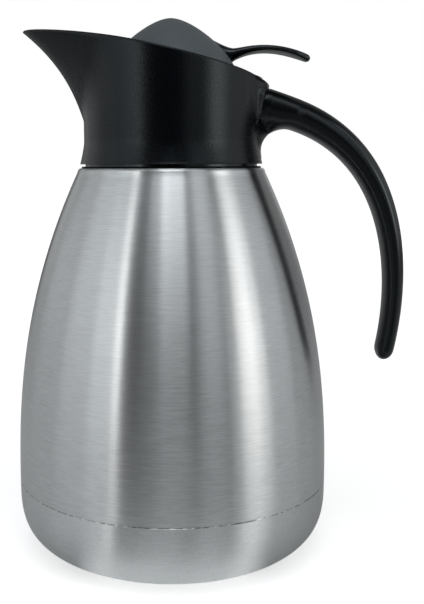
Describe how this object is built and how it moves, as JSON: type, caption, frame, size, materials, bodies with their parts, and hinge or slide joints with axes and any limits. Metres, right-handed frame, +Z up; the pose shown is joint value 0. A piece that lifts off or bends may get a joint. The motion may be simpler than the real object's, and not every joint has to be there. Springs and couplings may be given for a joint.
{
  "type": "thermal carafe",
  "caption": "Double-walled steel carafe with a screwed-on pouring head, drawn-out spout, open-ended handle and a domed flip lid tipped by a thumb lever",
  "frame": {"origin": "centre of the standing face, on the vessel's axis", "axes": "+Z up along the vessel's axis, spout towards -X, handle towards +X, the middle plane is XZ"},
  "size_m": [0.1756, 0.1412, 0.2377],
  "materials": {
    "brushed_steel": "brushed round the axis, satin",
    "inner_steel": "plain drawn sheet",
    "hardware_steel": "plain",
    "head_plastic": "fine-grained matte",
    "dome_plastic": "satin dark grey",
    "black_plastic": "half gloss",
    "black_rubber": "matte",
    "silicone": "satin"
  },
  "bodies": {
    "vessel": {"outer_shell": "brushed_steel", "outer_base": "brushed_steel", "inner_liner": "inner_steel", "liner_bottom": "inner_steel", "vacuum_getter": "inner_steel", "vacuum_plug": "inner_steel", "base_pad": "head_plastic", "neck_gasket": "black_rubber", "neck_ring": "black_plastic", "mouth_seal": "silicone", "pouring_head": "head_plastic", "throat_insert": "head_plastic", "hinge_bracket": "inner_steel", "bracket_screws": "hardware_steel", "hinge_pin": "hardware_steel", "return_spring": "hardware_steel", "handle": "black_plastic", "handle_screws": "hardware_steel"},
    "lid": {"lid_dome": "dome_plastic", "thumb_lever": "black_plastic", "lever_screws": "hardware_steel", "lid_carrier": "head_plastic", "carrier_screws": "hardware_steel", "lid_stopper": "dome_plastic", "lid_gasket": "silicone"}
  },
  "joints": [
    {"name": "lid_flip", "type": "hinge", "parent": "vessel", "child": "lid", "pos_m": [0.029, 0, 0.209], "axis": [0, 1, 0], "range_deg": [0, 28], "stiffness_Nm_per_rad": 0.06, "springref_deg": -34.38, "deforming": ["return_spring"]}
  ]
}
